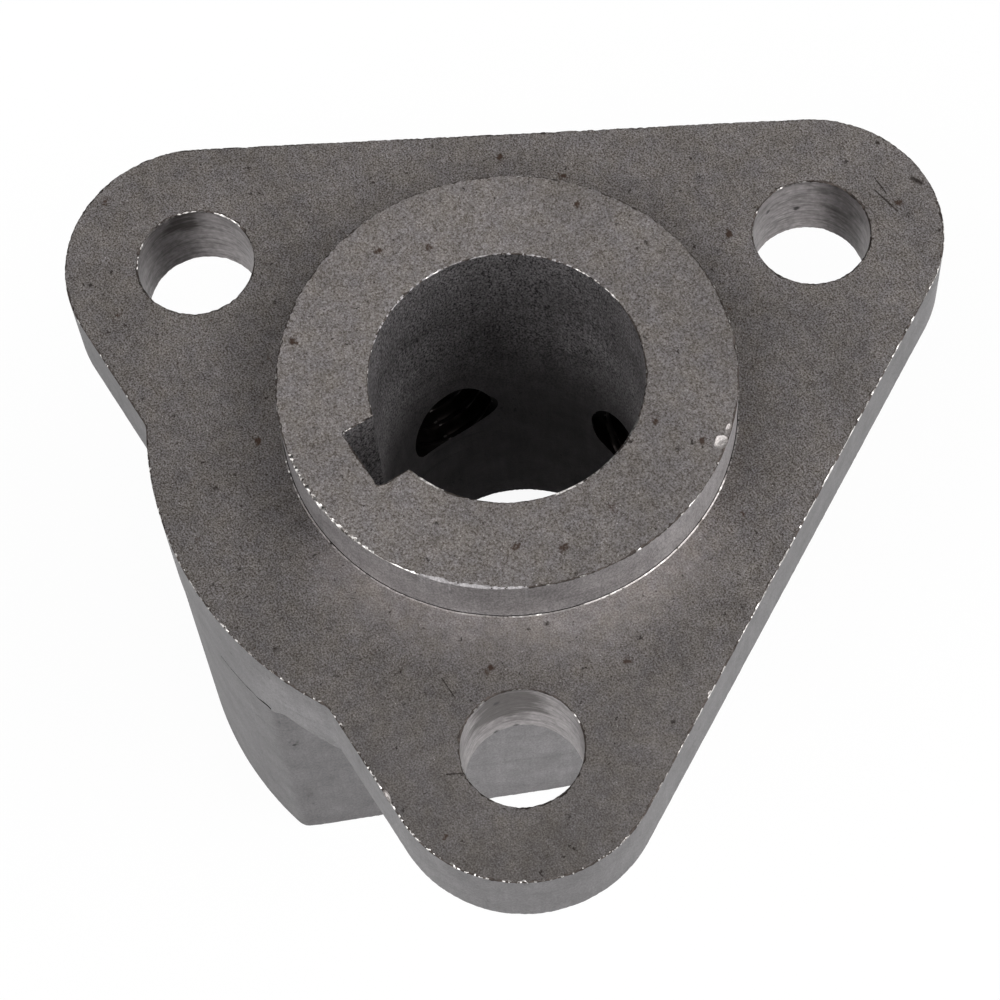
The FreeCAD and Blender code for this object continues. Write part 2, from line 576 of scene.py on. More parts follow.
# Marks of handling: a dent in the pilot's rim with a sliver beside it, and bruises on the
# flange's edge. Each is cut by a lumpy ball, which stands at a place in mm.
chips = {
    "dent": {"at": (12.2, 9.52, 38.95), "radii": (0.54, 0.66, 0.46), "turn": 45.0},
    "sliver": {"at": (11.62, 10.44, 38.8), "radii": (0.19, 0.42, 0.26), "turn": 44.0},
    "bruiseOnPad": {"at": (7.8, -24.3, 34.2), "radii": (0.2, 0.17, 0.2), "turn": -72.0},
    "bruiseOnEar": {"at": (20.1, -22.05, 34.15), "radii": (0.2, 0.55, 0.36), "turn": -100.0},
    "bruiseOnSide": {"at": (25.5, -0.1, 34.2), "radii": (0.14, 0.22, 0.18), "turn": 30.0},
}


def chipTool(name):
    chip = chips[name]
    bm = bmesh.new()
    bmesh.ops.create_icosphere(bm, subdivisions=4, radius=1.0)
    for vert in bm.verts:
        vert.co *= 1.0 + 0.14 * noise.noise(1.7 * vert.co + Vector(chip["at"]))
    turned = Matrix.Translation(chip["at"]) @ Matrix.Rotation(math.radians(chip["turn"]), 4, "Z")
    bmesh.ops.transform(bm, matrix=turned @ Matrix.Diagonal((*chip["radii"], 1.0)), verts=bm.verts)
    for face in bm.faces:
        face.material_index = finishes.index("freshSteelChip")
    return dress(makeObject(bm, name))


# A hairline on the lug's round face, left where the die's two halves meet. It gapes at the
# lug's corner. Directions in degrees, sizes in mm.
crack = {
    "start": -86.5, "sweep": 12.5, "height": 0.17, "depth": 0.2, "gapeStart": -77.5, "gape": 0.26,
}


def partingCrack():
    wall = hub["lugRadius"]
    low = flangeUnderside - barrel["corner"] + 0.12
    high = low + crack["height"]
    profile = [(wall + 0.05, high), (wall + 0.05, low), (wall - crack["depth"], low + 0.04)]
    bm = spinOutline(profile, crack["start"], crack["sweep"])
    for vert in bm.verts:
        if vert.co.z > high - 0.01:
            along = (directionOf(vert.co) - crack["gapeStart"]) / 2.5
            vert.co.z += crack["gape"] * min(1.0, max(0.0, along))
        vert.co.z += 0.2 * noise.noise(vert.co / 0.8) + 0.04 * noise.noise(vert.co / 0.2)
    return makeObject(bm, "partingCrack")


def dress(thing):
    # all finishes in the same order, so that faces keep theirs through a Boolean
    for look in looks.values():
        thing.data.materials.append(look)
    return thing


def hubBody():
    body = flangeBlank()
    pilot = disc("pilot", axis, hub["pilotRadius"], flangeUnderside + 2.0, hub["pilotTop"])
    combine(body, [barrelBlank(), padSkirt(), pilot, punchLip()], "UNION")
    low, high = flangeUnderside - 1.0, hub["flangeTop"] + 1.0
    drills = [disc("drill", centre, hub["boltHoleRadius"], low, high) for centre in boltCentres]
    taps = [tapTool(mounts[name]) for name in ("set_screw_back", "set_screw_side")]
    combine(body, drills + [shaftTool(), punchCrease(), partingCrack()] + taps, "DIFFERENCE")
    print("hub cut:", len(body.data.vertices), "points")
    bm = bmesh.new()
    bm.from_mesh(body.data)
    bmesh.ops.remove_doubles(bm, verts=bm.verts, dist=2e-3)
    bmesh.ops.dissolve_degenerate(bm, edges=bm.edges, dist=1e-4)
    for face in bm.faces:
        face.material_index = finishes.index(finishOf(face))
    breakEdges(bm)
    layCapsAgain(bm)
    bm.to_mesh(body.data)
    bm.free()
    dress(body)
    combine(body, [chipTool(name) for name in chips], "DIFFERENCE")
    bm = bmesh.new()
    bm.from_mesh(body.data)
    for edge in bm.edges:
        kinds = {face.material_index for face in edge.link_faces}
        edge.smooth = len(kinds) == 1 and edge.calc_face_angle(0.0) < math.radians(32.0)
    bmesh.ops.transform(bm, matrix=Matrix.Scale(mm, 4), verts=bm.verts)
    for face in bm.faces:
        face.smooth = True
    bm.to_mesh(body.data)
    bm.free()
    body.name = "hubBody"
    return body


# Materials

def linear(colour):
    # sRGB hex text to the linear values that the shaders take
    parts = [int(colour[index:index + 2], 16) / 255.0 for index in (1, 3, 5)]
    return [p / 12.92 if p <= 0.04045 else ((p + 0.055) / 1.055) ** 2.4 for p in parts] + [1.0]


def addNode(tree, kind, inputs=(), **settings):
    # inputs are a list for the sockets that the settings leave in use, in their order, or are by
    # name, and each is a value, a socket, or a node, of which the first output in use is meant
    node = tree.nodes.new("ShaderNode" + kind)
    for name, value in settings.items():
        setattr(node, name, value)
    used = [socket for socket in node.inputs if socket.enabled]
    if isinstance(inputs, dict):
        used = [next(socket for socket in used if socket.name == name) for name in inputs]
        inputs = inputs.values()
    for socket, value in zip(used, inputs):
        if isinstance(value, bpy.types.Node):
            value = next(output for output in value.outputs if output.enabled)
        if isinstance(value, bpy.types.NodeSocket):
            tree.links.new(value, socket)
        else:
            socket.default_value = value
    return node


smooth = {"interpolation_type": "SMOOTHSTEP"}      # for a Map Range without corners


def startMaterial(name):
    material = bpy.data.materials.new(name)
    material.use_nodes = True
    material.node_tree.nodes.clear()
    return material, material.node_tree


def placeInMillimetres(tree):
    coordinates = addNode(tree, "TexCoord")
    return addNode(tree, "VectorMath", [coordinates.outputs["Object"], 1.0 / mm], operation="SCALE")


def placeInPlan(tree, place):
    return addNode(tree, "VectorMath", [place, (1.0, 1.0, 0.0)], operation="MULTIPLY")


def acrossPlan(tree, place, direction):
    # the cosine of the angle in plan between the place and a direction
    away = addNode(tree, "VectorMath", [placeInPlan(tree, place)], operation="NORMALIZE")
    return addNode(tree, "VectorMath", [away, inPlan(1.0, direction)], operation="DOT_PRODUCT")


def unevenField(tree, place, size, detail=2.0, stretch=(1.0, 1.0, 1.0)):
    # from 0 to 1, in patches about size mm wide, or stretch times that along each axis
    scale = [1.0 / (size * along) for along in stretch]
    scaled = addNode(tree, "VectorMath", [place, scale], operation="MULTIPLY")
    return addNode(tree, "TexNoise", {
        "Vector": scaled, "Scale": 1.0, "Detail": detail, "Roughness": 0.6,
    })


def shaded(tree, colour, swings, factors=()):
    # the colour times all the factors, and for each pair of a field and a swing also darker and
    # lighter by the swing, where the field is at 0.25 and at 0.75
    for field, swing in swings:
        factor = addNode(tree, "MapRange", [field, 0.25, 0.75, 1.0 - swing, 1.0 + swing])
        colour = addNode(tree, "VectorMath", [colour, factor], operation="SCALE")
    for factor in factors:
        colour = addNode(tree, "VectorMath", [colour, factor], operation="SCALE")
    return colour


def specks(tree, place, spacing, radius, share, seed):
    # 1 inside ragged specks of up to radius mm, one to a square of spacing mm in a share of them
    ragged = addNode(tree, "TexNoise", {"Vector": place, "Scale": 0.8 / radius, "Detail": 3.0})
    moved = addNode(tree, "VectorMath", [
        ragged.outputs["Color"], (3.6 * radius, 3.6 * radius, 0.0), place,
    ], operation="MULTIPLY_ADD")
    shifted = addNode(tree, "VectorMath", [moved, (seed, seed, 0.0)], operation="ADD")
    cells = addNode(tree, "TexVoronoi", {
        "Vector": shifted, "Scale": 1.0 / spacing,
    }, voronoi_dimensions="2D")
    chance = addNode(tree, "SeparateColor", [cells.outputs["Color"]])
    full = radius / spacing
    reach = addNode(tree, "MapRange", [chance, 1.0 - share, 1.0, 0.3 * full, full])
    allowed = addNode(tree, "Math", [chance, 1.0 - share], operation="GREATER_THAN")
    inside = addNode(tree, "Math", [reach, cells], operation="SUBTRACT")
    edge = addNode(tree, "MapRange", [inside, 0.0, 0.6 * full, 0.0, 0.85])
    return addNode(tree, "Math", [edge, allowed], operation="MULTIPLY")


def frayedSpots(tree, place, spots, ragged, fray, start, end):
    # 0.9 within about start mm of a listed spot, falling to 0 at end mm, with a frayed edge
    nearest = 100.0
    for spot in spots:
        apart = addNode(tree, "VectorMath", [place, spot], operation="DISTANCE")
        nearest = addNode(tree, "Math", [apart, nearest], operation="MINIMUM")
    frayed = addNode(tree, "Math", [ragged, fray, nearest], operation="MULTIPLY_ADD")
    return addNode(tree, "MapRange", [frayed, 0.5 * fray + start, 0.5 * fray + end, 0.9, 0.0])


def finishSteel(material, tree, colour, roughness, heights):
    # heights are pairs of a field and its depth in mm, summed into one bump
    inputs = {"Base Color": colour, "Metallic": 1.0, "Roughness": roughness}
    for field, depth in heights:
        bump = {"Height": field, "Distance": depth * mm, "Strength": 1.0}
        if "Normal" in inputs:
            bump["Normal"] = inputs["Normal"]
        inputs["Normal"] = addNode(tree, "Bump", bump)
    shader = addNode(tree, "BsdfPrincipled", inputs)
    addNode(tree, "OutputMaterial", {"Surface": shader})
    return material


# Sintered steel under a punch: grains squeezed flat with pores between them, so it looks
# like fine dark sandpaper, dull, with a few open grains whose glint is a painted highlight,
# and spots of old rust.
# The grains' tops are rubbed to a cool grey, and the hollows between them are brown.
pressed = {
    "hollow": "#504944", "top": "#989495", "contrast": 0.155,
    "warm": (1.02, 1.009, 0.955), "cool": (0.997, 1.004, 1.009), "hueSize": 1.6,
    "patchSize": 6.0, "mottleSize": 0.9,
    "grainSize": 0.12,          # real powder grains are 0.05 to 0.15 mm
    "grainDepth": 0.024, "mottleDepth": 0.03,
    "glintSize": 0.1, "glint": 2.2,
    # the grain is worn smoother towards one ear, between these distances from the axis in mm
    "wornDirection": -30.0, "wornFrom": 14.0, "wornTo": 26.0, "wornGrain": 0.6,
    "pore": "#322c29", "rust": "#4a3a31",
    "pores": {"spacing": 1.1, "radius": 0.1, "share": 0.4, "seed": 0.0},
    "pits": {"spacing": 2.1, "radius": 0.2, "share": 0.45, "seed": 3.1},
    "rustSpecks": {"spacing": 4.6, "radius": 0.34, "share": 0.3, "seed": 1.7},
    "roughness": 0.62, "unevenness": 0.22, "fraySize": 0.45,
}

# Marks that stand where the photograph has them, by place in plan in mm: spots of rust, and
# scratches with the width of each.
rustSpots = {
    "places": (
        (-17.4, 10.1), (-13.6, 13.0), (-3.1, 20.3), (1.4, 31.8), (16.1, -11.6), (-7.3, -16.1),
        (13.0, -3.6), (-8.7, 11.2), (12.3, 0.7), (-13.2, -2.2), (8.4, 6.7), (-10.2, -10.9),
    ),
    "radius": 0.33,
}
scratches = {
    "longByEar": {"from": (-0.33, 31.09), "to": (1.93, 31.46), "width": 0.1},
    "shortByEar": {"from": (-1.22, 31.65), "to": (0.23, 31.62), "width": 0.09},
    "gougeByEdge": {"from": (0.3, 33.9), "to": (1.0, 34.2), "width": 0.26},
    "hairlineByHole": {"from": (20.9, -17.9), "to": (21.5, -16.8), "width": 0.09},
    "hairlineBeforeHole": {"from": (14.9, -14.6), "to": (16.6, -14.6), "width": 0.07},
}


def listedScratches(tree, plan, ragged):
    # 1 inside the listed scratches
    marks = 0.0
    for mark in scratches.values():
        start = Vector((*mark["from"], 0.0))
        run = Vector((*mark["to"], 0.0)) - start
        offset = addNode(tree, "VectorMath", [plan, start], operation="SUBTRACT")
        share = run / run.length_squared
        along = addNode(tree, "VectorMath", [offset, share], operation="DOT_PRODUCT")
        kept = addNode(tree, "Clamp", {"Value": along})
        beside = addNode(tree, "VectorMath", [kept, run, start], operation="MULTIPLY_ADD")
        apart = addNode(tree, "VectorMath", [plan, beside], operation="DISTANCE")
        width = mark["width"]
        frayed = addNode(tree, "Math", [ragged, 1.2 * width, apart], operation="MULTIPLY_ADD")
        inside = addNode(tree, "MapRange", [frayed, 0.8 * width, 1.5 * width, 0.85, 0.0])
        marks = addNode(tree, "Math", [inside, marks], operation="MAXIMUM")
    return marks


def pressedSteel(name, lift, grainSwing, drift, extra):
    # lift is how much lighter the face is than the flange's, drift how that changes per mm in x
    # and y, a painted gradient of light, and extra makes one more factor of painted light and
    # shade, or is None
    material, tree = startMaterial(name)
    place = placeInMillimetres(tree)
    plan = placeInPlan(tree, place)
    hue = unevenField(tree, place, pressed["hueSize"], 4.0)
    patches = unevenField(tree, place, pressed["patchSize"], 3.0)
    mottle = unevenField(tree, place, pressed["mottleSize"], 3.0)
    nearEar = inPlan(1.0, pressed["wornDirection"])
    outwards = addNode(tree, "VectorMath", [place, nearEar], operation="DOT_PRODUCT")
    worn = addNode(tree, "MapRange", [
        outwards, pressed["wornFrom"], pressed["wornTo"], 1.0, pressed["wornGrain"],
    ])
    # less grain also shows where the face has painted light
    shade = extra(tree, place) if extra else 1.0
    grainOutsidePaintedLight = addNode(tree, "MapRange", [shade, 1.05, 1.4, 1.0, 0.55])
    share = addNode(tree, "Math", [worn, grainOutsidePaintedLight], operation="MULTIPLY")
    grain = unevenField(tree, place, pressed["grainSize"], 1.0)
    grain = addNode(tree, "Mix", [share, 0.5, grain], data_type="FLOAT")
    spread = pressed["contrast"] / grainSwing
    top = addNode(tree, "MapRange", [grain, 0.5 - spread, 0.5 + spread])
    hollow = linear(pressed["hollow"])
    grains = addNode(tree, "Mix", [top, hollow, linear(pressed["top"])], data_type="RGBA")
    turn = addNode(tree, "MapRange", [hue, 0.35, 0.65])
    warm = (*pressed["warm"], 1.0)
    tint = addNode(tree, "Mix", [turn, warm, (*pressed["cool"], 1.0)], data_type="RGBA")
    tinted = addNode(tree, "VectorMath", [grains, tint], operation="MULTIPLY")
    # the drift is a painted gradient of light across the face
    drifted = addNode(tree, "VectorMath", [place, (*drift, 0.0)], operation="DOT_PRODUCT")
    level = addNode(tree, "Math", [drifted, lift], operation="ADD")
    # painted highlight: glinting grains made up to glint times lighter in the colour
    glints = unevenField(tree, place, pressed["glintSize"], 0.0)
    glint = addNode(tree, "MapRange", [glints, 0.77, 0.85, 1.0, pressed["glint"]])
    swing = pressed["unevenness"] * grainSwing
    bright = shaded(tree, tinted, [(patches, swing), (mottle, swing)], [level, glint, shade])
    frayed = unevenField(tree, place, pressed["fraySize"], 4.0)
    pores = specks(tree, place, **pressed["pores"])
    pits = specks(tree, place, **pressed["pits"])
    hollows = addNode(tree, "Math", [pores, pits], operation="MAXIMUM")
    scratched = listedScratches(tree, plan, frayed)
    holes = addNode(tree, "Math", [hollows, scratched], operation="MAXIMUM")
    porous = addNode(tree, "Mix", [holes, bright, linear(pressed["pore"])], data_type="RGBA")
    scattered = specks(tree, place, **pressed["rustSpecks"])
    radius = rustSpots["radius"]
    places = [(x, y, 0.0) for x, y in rustSpots["places"]]
    listed = frayedSpots(tree, plan, places, frayed, 1.5, 0.25 * radius, 1.1 * radius)
    rust = addNode(tree, "Math", [scattered, listed], operation="MAXIMUM")
    rusted = addNode(tree, "Mix", [rust, porous, linear(pressed["rust"])], data_type="RGBA")
    heights = [(grain, pressed["grainDepth"]), (mottle, pressed["mottleDepth"])]
    return finishSteel(material, tree, rusted, pressed["roughness"], heights)


# Round the pilot's foot the flange has painted light on the near side, where the pilot's wall
# throws light down, and painted shade on the others.
foot = {"direction": -30.0, "light": 0.5, "grime": -0.17, "end": 22.0, "ragged": 3.0}


def footShade(tree, place):
    reach = addNode(tree, "VectorMath", [placeInPlan(tree, place)], operation="LENGTH")
    uneven = unevenField(tree, place, 2.5, 3.0)
    ragged = addNode(tree, "Math", [uneven, foot["ragged"], reach], operation="MULTIPLY_ADD")
    half = foot["ragged"] / 2.0
    fall = addNode(tree, "MapRange", [
        ragged, hub["pilotRadius"] + half, foot["end"] + half, 1.0, 0.0,
    ], **smooth)
    # lighter towards the near side, painted light, and darker on the others, painted shade
    near = addNode(tree, "MapRange", [
        acrossPlan(tree, place, foot["direction"]), 0.46, 0.74, foot["grime"], foot["light"],
    ], **smooth)
    return addNode(tree, "Math", [near, fall, 1.0], operation="MULTIPLY_ADD")


# The same steel where it slid along the die as it was pressed out: burnished, smoother, with
# faint streaks the way it slid, a few slanting rubs and dark scuffs.
slid = {
    "streakSize": 0.5, "streakStretch": 14.0, "streakSwing": 0.08,
    "patchSize": 2.2, "patchSwing": 0.2,
    # drawn coarser than the real grain, and longer up the wall, so that it shows
    "grainSize": 1.2 * pressed["grainSize"], "grainStretch": 1.6,
    "rubSize": 0.8, "rubStretch": 16.0, "rubSlant": 24.0, "rub": 0.8,
    "scuff": "#3a3736", "scuffSize": 1.1,
}


def slidSteel(name, colour, roughness, grainSwing, extra):
    # extra makes a last factor and the share of the grain that shows
    material, tree = startMaterial(name)
    place = placeInMillimetres(tree)
    streaks = unevenField(tree, place, slid["streakSize"], 2.0, (1.0, 1.0, slid["streakStretch"]))
    patches = unevenField(tree, place, slid["patchSize"], 4.0)
    grain = unevenField(tree, place, slid["grainSize"], 1.0, (1.0, 1.0, slid["grainStretch"]))
    slanted = addNode(tree, "VectorRotate", {
        "Vector": place, "Axis": (0.45, 0.89, 0.0), "Angle": math.radians(slid["rubSlant"]),
    }, rotation_type="AXIS_ANGLE")
    length = slid["rubStretch"]
    rubs = unevenField(tree, slanted, slid["rubSize"], 3.0, (length, length, 1.0))
    rub = addNode(tree, "MapRange", [rubs, 0.58, 0.74, 1.0, slid["rub"]])
    factor, grainShare = extra(tree, place)
    grainFactor = addNode(tree, "MapRange", [grain, 0.25, 0.75, 1.0 - grainSwing, 1.0 + grainSwing])
    shown = addNode(tree, "Mix", [grainShare, 1.0, grainFactor], data_type="FLOAT")
    swings = [(streaks, slid["streakSwing"]), (patches, slid["patchSwing"])]
    shade = shaded(tree, linear(colour)[:3], swings, [rub, factor, shown])
    scuffs = unevenField(tree, place, slid["scuffSize"], 4.0, (0.7, 0.7, 1.3))
    scuffed = addNode(tree, "MapRange", [scuffs, 0.66, 0.78, 0.0, 0.8])
    dark = addNode(tree, "Mix", [scuffed, shade, linear(slid["scuff"])], data_type="RGBA")
    heights = [(grain, 0.06 * grainSwing), (patches, 0.02)]
    return finishSteel(material, tree, dark, roughness, heights)


# The pilot's wall is painted lighter on its right side: painted light.
pilotPaintedLight = {"direction": 22.0, "light": 1.2}


def pilotShade(tree, place):
    lighter = addNode(tree, "MapRange", [
        acrossPlan(tree, place, pilotPaintedLight["direction"]), 0.75, 0.97, 1.0, pilotPaintedLight["light"],
    ], **smooth)
    return lighter, 1.0


# The pad's wall is painted lighter by the lug's corner, and so is the flat that shows through a
# bolt hole: painted light. Painted shade darkens the flat under the pad's edge and the far ear's
# wall, and there is one black pit on the other flat.
wallPaintedLightShadeAndPit = {
    "corner": (9.8, -23.5, 28.0), "reach": 7.0, "light": 0.28,
    "farFlank": (13.7, -8.8, 7.0), "farLight": 1.24,
    "farEarDirection": -142.0, "farEarShade": 0.8,
    "dirt": -0.2, "thinDirt": -0.05, "dirtHeight": 5.0,
    "pit": (7.32, -23.55, 17.5),
}


def wallShade(tree, place):
    apart = {
        name: addNode(tree, "VectorMath", [place, wallPaintedLightShadeAndPit[name]], operation="DISTANCE")
        for name in ("corner", "farFlank", "pit")
    }
    # painted light on the pad's wall by the lug's corner
    lighter = addNode(tree, "MapRange", [
        apart["corner"], 2.0, wallPaintedLightShadeAndPit["reach"], wallPaintedLightShadeAndPit["light"], 0.0,
    ], **smooth)
    reach = addNode(tree, "VectorMath", [placeInPlan(tree, place)], operation="LENGTH")
    onPad = addNode(tree, "MapRange", [reach, hub["lugRadius"] - 0.2, hub["lugRadius"] - 0.03])
    height = addNode(tree, "SeparateXYZ", [place]).outputs["Z"]
    low, high = flangeUnderside - wallPaintedLightShadeAndPit["dirtHeight"], flangeUnderside - 0.8
    thin, thick = wallPaintedLightShadeAndPit["thinDirt"], wallPaintedLightShadeAndPit["dirt"]
    # painted shade on the flat under the pad's edge, deeper nearer the edge
    shadeByHeight = addNode(tree, "MapRange", [height, low, high, thin, thick])
    below = addNode(tree, "Math", [height, flangeUnderside - 0.05], operation="LESS_THAN")
    dirt = addNode(tree, "Math", [shadeByHeight, below], operation="MULTIPLY")
    change = addNode(tree, "Mix", [onPad, dirt, lighter], data_type="FLOAT")
    whole = addNode(tree, "Math", [change, 1.0], operation="ADD")
    # painted shade on the far ear's wall
    across = acrossPlan(tree, place, wallPaintedLightShadeAndPit["farEarDirection"])
    farEar = addNode(tree, "MapRange", [
        across, 0.9, 0.99, 1.0, wallPaintedLightShadeAndPit["farEarShade"],
    ], **smooth)
    # painted light on the flat that shows through a bolt hole
    farFlank = addNode(tree, "MapRange", [
        apart["farFlank"], 4.0, 10.0, wallPaintedLightShadeAndPit["farLight"], 1.0,
    ], **smooth)
    pit = addNode(tree, "MapRange", [apart["pit"], 0.12, 0.2, 0.12, 1.0])
    for other in (farEar, farFlank, pit):
        whole = addNode(tree, "Math", [whole, other], operation="MULTIPLY")
    return whole, 1.0


# In the bore two broad bands of the wall are painted lighter, painted light, with painted shade
# between them, and its upper end is darker. The bands lie at both sides of the far wall.
borePaintedLight = {
    "between": 156.0, "height": 26.0, "light": 0.6, "dark": -0.2,
    "grime": 0.95, "grimeHeight": 29.5,
}


def boreShade(tree, place):
    across = acrossPlan(tree, place, borePaintedLight["between"] - 90.0)
    aside = addNode(tree, "Math", [across], operation="ABSOLUTE")
    lighter = addNode(tree, "MapRange", [aside, 0.0, 0.75, borePaintedLight["dark"], borePaintedLight["light"]])
    height = addNode(tree, "SeparateXYZ", [place]).outputs["Z"]
    off = addNode(tree, "Math", [height, borePaintedLight["height"]], operation="SUBTRACT")
    apart = addNode(tree, "Math", [off], operation="ABSOLUTE")
    level = addNode(tree, "MapRange", [apart, 1.5, 7.0, 1.0, 0.0], **smooth)
    change = addNode(tree, "Math", [lighter, level, 1.0], operation="MULTIPLY_ADD")
    # darker towards the upper end
    upper = addNode(tree, "MapRange", [
        height, borePaintedLight["grimeHeight"], borePaintedLight["grimeHeight"] + 3.0, 1.0, borePaintedLight["grime"],
    ], **smooth)
    factor = addNode(tree, "Math", [change, upper], operation="MULTIPLY")
    # the grain shows less the deeper it lies
    rough = addNode(tree, "MapRange", [height, 17.0, 27.0, 0.1, 1.0])
    return factor, rough


# Drilled steel: brighter, with rings left by the drill's lips, a few slanting scores where the
# chips ran out, and dark smears of cutting oil.
drilled = {
    "colour": "#928d8d", "smear": "#413b39", "fleck": "#1a1716", "roughness": 0.45,
    "lineSpacing": 0.9, "line": 0.7,
    "ringSize": 0.24,           # real rings are finer, and would not show
    "scoreSize": 0.25, "scoreSlant": 32.0,
    "mottleSize": 0.45, "patchSize": 1.7,
    "ringSwing": 0.14, "mottleSwing": 0.34,
}
# Places in mm on the walls of the three holes, round which the oil stayed, and how wet each is.
oil = {
    "firstHole": {"at": (-25.9, -11.6, 32.9), "reach": 2.6, "wetness": 0.4},
    "firstHoleWiped": {"at": (-26.2, -12.9, 29.6), "reach": 3.0, "wetness": -0.3},
    "secondHole": {"at": (-1.0, 29.3, 31.0), "reach": 4.5, "wetness": 0.14},
    "thirdHole": {"at": (18.1, -11.5, 32.1), "reach": 4.4, "wetness": 0.58},
}
# black flecks on the walls, and nicks at the third hole's lower end
flecks = {
    "places": (
        (17.87, -12.2, 32.6), (18.2, -11.05, 27.5), (17.85, -12.5, 27.55),
        (-3.87, 26.9, 30.4), (-4.05, 24.5, 31.9),
    ),
    "radius": 0.32,
}


def drilledSteel(name):
    material, tree = startMaterial(name)
    place = placeInMillimetres(tree)
    rings = unevenField(tree, place, drilled["ringSize"], 5.0, (14.0, 14.0, 1.0))
    slanted = addNode(tree, "VectorRotate", {
        "Vector": place, "Axis": (0.5, 0.87, 0.0), "Angle": math.radians(drilled["scoreSlant"]),
    }, rotation_type="AXIS_ANGLE")
    scores = unevenField(tree, slanted, drilled["scoreSize"], 3.0, (14.0, 14.0, 1.0))
    mottle = unevenField(tree, place, drilled["mottleSize"], 5.0)
    patches = unevenField(tree, place, drilled["patchSize"], 6.0, (1.7, 1.7, 0.6))
    # thin dark lines where a field that runs round the hole crosses its middle
    bent = unevenField(tree, place, drilled["lineSpacing"], 3.0, (9.0, 9.0, 1.0))
    off = addNode(tree, "Math", [bent, 0.5], operation="SUBTRACT")
    beside = addNode(tree, "Math", [off], operation="ABSOLUTE")
    lines = addNode(tree, "MapRange", [beside, 0.008, 0.035, drilled["line"], 1.0])
    near = 0.0
    for spot in oil.values():
        distance = addNode(tree, "VectorMath", [place, spot["at"]], operation="DISTANCE")
        wet = addNode(tree, "MapRange", [
            distance, 0.0, spot["reach"], spot["wetness"], 0.0,
        ], **smooth)
        near = addNode(tree, "Math", [wet, near], operation="ADD")
    # the oil lies in streaks along the rings
    streaks = addNode(tree, "Math", [rings, 3.4, -0.7], operation="MULTIPLY_ADD")
    wetness = addNode(tree, "Math", [near, streaks, patches], operation="MULTIPLY_ADD")
    smear = addNode(tree, "MapRange", [wetness, 0.58, 0.84, 0.0, 0.85])
    radius = flecks["radius"]
    fleck = frayedSpots(tree, place, flecks["places"], mottle, 0.3, 0.4 * radius, radius)
    ring = drilled["ringSwing"]
    swings = [(rings, ring), (scores, ring), (mottle, drilled["mottleSwing"])]
    shade = shaded(tree, linear(drilled["colour"])[:3], swings, [lines])
    oily = addNode(tree, "Mix", [smear, shade, linear(drilled["smear"])], data_type="RGBA")
    flecked = addNode(tree, "Mix", [fleck, oily, linear(drilled["fleck"])], data_type="RGBA")
    heights = [(rings, 0.014), (mottle, 0.01)]
    return finishSteel(material, tree, flecked, drilled["roughness"], heights)


# Bare steel on the edges, where the dark skin is rubbed off: broken bright points.
bared = {
    "bright": "#d3d0cd", "dull": "#5a5552", "pointSize": 0.22, "runSize": 4.0, "roughness": 0.3,
}


def bareSteelEdge(name):
    material, tree = startMaterial(name)
    place = placeInMillimetres(tree)
    points = unevenField(tree, place, bared["pointSize"], 2.0)
    runs = unevenField(tree, place, bared["runSize"], 1.0)
    both = addNode(tree, "Math", [points, runs], operation="ADD")
    rubbed = addNode(tree, "MapRange", [both, 0.82, 1.06])
    shade = addNode(tree, "Mix", [
        rubbed, linear(bared["dull"]), linear(bared["bright"]),
    ], data_type="RGBA")
    return finishSteel(material, tree, shade, bared["roughness"], [(points, 0.02)])


# Steel of one colour with small darker and lighter patches, of a size and depth in mm.
patchy = {
    # cut thread, black with oil
    "tappedSteel": {"colour": "#1f1c1b", "roughness": 0.45, "size": 0.8, "detail": 2.0},
    # the dark skin that the edges keep on the side of the flat faces
    "oxideSkinEdge": {"colour": "#4d4744", "roughness": 0.6, "size": 0.5, "detail": 2.0},
    # torn metal in the dents, still pale because no skin has grown on it
    "freshSteelChip": {
        "colour": "#b8b3b1", "roughness": 0.5, "size": 0.12, "detail": 3.0, "depth": 0.05,
    },
}


def patchySteel(name):
    look = patchy[name]
    material, tree = startMaterial(name)
    patches = unevenField(tree, placeInMillimetres(tree), look["size"], look["detail"])
    shade = shaded(tree, linear(look["colour"])[:3], [(patches, 0.5)])
    heights = [(patches, look["depth"])] if "depth" in look else []
    return finishSteel(material, tree, shade, look["roughness"], heights)


def darkCrease(name):
    # dirt and oxide in the narrow gap that the punches left
    material, tree = startMaterial(name)
    return finishSteel(material, tree, linear("#3a3431"), 0.8, [])


looks = {material.name: material for material in (
    pressedSteel("sinteredSteelFace", 1.03, 0.74, (-0.004, 0.003), footShade),
    pressedSteel("sinteredSteelPilotFace", 1.24, 0.6, (-0.008, -0.005), None),
    slidSteel("sinteredSteelDieWall", "#716f70", 0.5, 0.2, wallShade),
    slidSteel("burnishedSteelPilotWall", "#a19e9f", 0.62, 0.3, pilotShade),
    slidSteel("sinteredSteelBore", "#838081", 0.65, 0.95, boreShade),
    drilledSteel("drilledSteel"),
    patchySteel("tappedSteel"),
    bareSteelEdge("bareSteelEdge"),
    patchySteel("oxideSkinEdge"),
    patchySteel("freshSteelChip"),
    darkCrease("darkCrease"),
)}
finishes = list(looks)      # a face keeps its finish as a number in this order
print("finishes made:", len(finishes))


hubPiece = hubBody()
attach(hubPiece, "root")
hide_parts("hub_body")


# Stage: floor, world, lamps and camera

stage = {
    "floorSize": 3.0,
    "floorColour": "#eeeeee",
    "background": 1.0,
    "backgroundShare": 0.94,
    "shadeStart": 0.045,        # reflections see the lit floor nearer than this, in metres
    "shadeEnd": 0.16,           # and the white background past this
}


